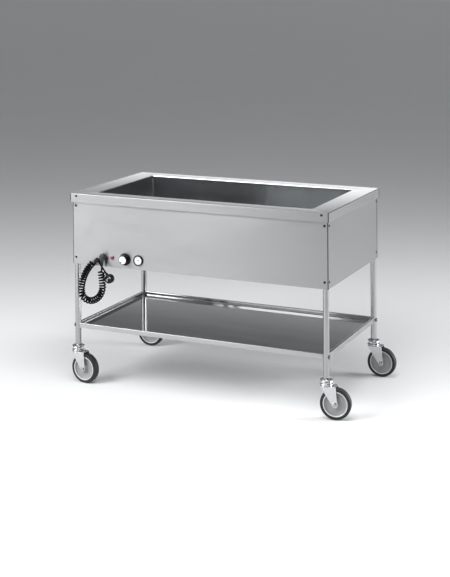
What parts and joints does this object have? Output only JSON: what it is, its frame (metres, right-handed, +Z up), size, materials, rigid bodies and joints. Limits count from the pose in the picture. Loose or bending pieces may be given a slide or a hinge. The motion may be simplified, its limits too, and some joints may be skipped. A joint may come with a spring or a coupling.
{
  "type": "steam table unit",
  "caption": "Heated water-well trolley for food pans: stainless casing with a deep open well, tube legs, tray shelf, swivel casters, dial controls and a curly mains cord.",
  "frame": {"origin": "on the floor, under the centre of the box round everything except the mains cord and its plug", "axes": "+X along the length, with the controls at the -X end; -Y is the front; +Z is up"},
  "size_m": [1.2666, 0.7108, 0.816],
  "materials": {
    "steel": "satin brushed stainless steel, grain along the length",
    "polished": "bright stainless steel, nearly mirror-like",
    "zinc": "bright zinc-plated pressed steel",
    "tyre": "dark grey rubber, matt",
    "wheel_grey": "grey moulded polypropylene",
    "black": "black moulded plastic",
    "cord_black": "black flexible cord sheath",
    "dial": "white printed dial",
    "lamp_red": "translucent red lens",
    "glass": "clear glass",
    "wool": "yellowish mineral wool board",
    "brass": "nickelled brass",
    "lever_red": "red dipped steel lever",
    "knob_face": "satin aluminium disc"
  },
  "bodies": {
    "trolley": {"top_rim": "steel", "well_tank": "polished", "front_panel": "steel", "rear_panel": "steel", "left_panel": "steel", "right_panel": "steel", "bottom_cover": "steel", "lower_shelf": "polished", "leg_front_left": "steel", "shelf_bolt_front_left": "zinc", "caster_head_front_left": "zinc", "leg_front_right": "steel", "shelf_bolt_front_right": "zinc", "caster_head_front_right": "zinc", "leg_rear_left": "steel", "shelf_bolt_rear_left": "zinc", "caster_head_rear_left": "zinc", "leg_rear_right": "steel", "shelf_bolt_rear_right": "zinc", "caster_head_rear_right": "zinc", "thermostat_body": "black", "thermometer_case": "black", "thermometer_dial": "dial", "thermometer_glass": "glass", "pilot_lamp_bezel": "polished", "pilot_lamp_lens": "lamp_red", "cord_strain_relief": "black", "cord_peg": "polished", "cord_lead": "cord_black", "cord_coil": "cord_black", "cord_tail": "cord_black", "mains_plug": "black", "plug_pin_1": "brass", "plug_pin_2": "brass", "heating_element": "steel", "insulation_board": "wool", "terminal_box": "black", "thermostat_bulb": "brass", "drain_pipe": "steel", "drain_valve": "brass"},
    "caster_front_left": {"caster_fork_front_left": "zinc", "caster_axle_front_left": "zinc"},
    "roller_front_left": {"wheel_front_left": "wheel_grey", "tyre_front_left": "tyre"},
    "caster_front_right": {"caster_fork_front_right": "zinc", "caster_axle_front_right": "zinc"},
    "roller_front_right": {"wheel_front_right": "wheel_grey", "tyre_front_right": "tyre"},
    "caster_rear_left": {"caster_fork_rear_left": "zinc", "caster_axle_rear_left": "zinc"},
    "roller_rear_left": {"wheel_rear_left": "wheel_grey", "tyre_rear_left": "tyre"},
    "caster_rear_right": {"caster_fork_rear_right": "zinc", "caster_axle_rear_right": "zinc"},
    "roller_rear_right": {"wheel_rear_right": "wheel_grey", "tyre_rear_right": "tyre"},
    "knob": {"control_knob": "black", "knob_cap": "knob_face"},
    "needle": {"thermometer_needle": "black"},
    "drain_lever": {"drain_lever": "lever_red"}
  },
  "joints": [
    {"name": "swivel_front_left", "type": "hinge", "parent": "trolley", "child": "caster_front_left", "pos_m": [-0.60536, -0.2899, 0.1315], "axis": [0, 0, 1], "continuous": true},
    {"name": "roll_front_left", "type": "hinge", "parent": "caster_front_left", "child": "roller_front_left", "pos_m": [-0.5685, -0.29312, 0.0625], "axis": [0.0872, 0.9962, 0], "continuous": true},
    {"name": "swivel_front_right", "type": "hinge", "parent": "trolley", "child": "caster_front_right", "pos_m": [0.53364, -0.2899, 0.1315], "axis": [0, 0, 1], "continuous": true},
    {"name": "roll_front_right", "type": "hinge", "parent": "caster_front_right", "child": "roller_front_right", "pos_m": [0.57028, -0.28475, 0.0625], "axis": [-0.1392, 0.9903, 0], "continuous": true},
    {"name": "swivel_rear_left", "type": "hinge", "parent": "trolley", "child": "caster_rear_left", "pos_m": [-0.60536, 0.3101, 0.1315], "axis": [0, 0, 1], "continuous": true},
    {"name": "roll_rear_left", "type": "hinge", "parent": "caster_rear_left", "child": "roller_rear_left", "pos_m": [-0.56845, 0.31268, 0.0625], "axis": [-0.0698, 0.9976, 0], "continuous": true},
    {"name": "swivel_rear_right", "type": "hinge", "parent": "trolley", "child": "caster_rear_right", "pos_m": [0.53364, 0.3101, 0.1315], "axis": [0, 0, 1], "continuous": true},
    {"name": "roll_rear_right", "type": "hinge", "parent": "caster_rear_right", "child": "roller_rear_right", "pos_m": [0.57064, 0.31075, 0.0625], "axis": [-0.0175, 0.9998, 0], "continuous": true},
    {"name": "knob_turn", "type": "hinge", "parent": "trolley", "child": "knob", "pos_m": [-0.36386, -0.3039, 0.551], "axis": [0, 1, 0], "range_deg": [0, 270]},
    {"name": "needle_turn", "type": "hinge", "parent": "trolley", "child": "needle", "pos_m": [-0.30036, -0.3039, 0.5515], "axis": [0, 1, 0], "range_deg": [0, 240]},
    {"name": "drain_lever_turn", "type": "hinge", "parent": "trolley", "child": "drain_lever", "pos_m": [0.33614, 0.2101, 0.4605], "axis": [-1, 0, 0], "range_deg": [0, 90]}
  ]
}
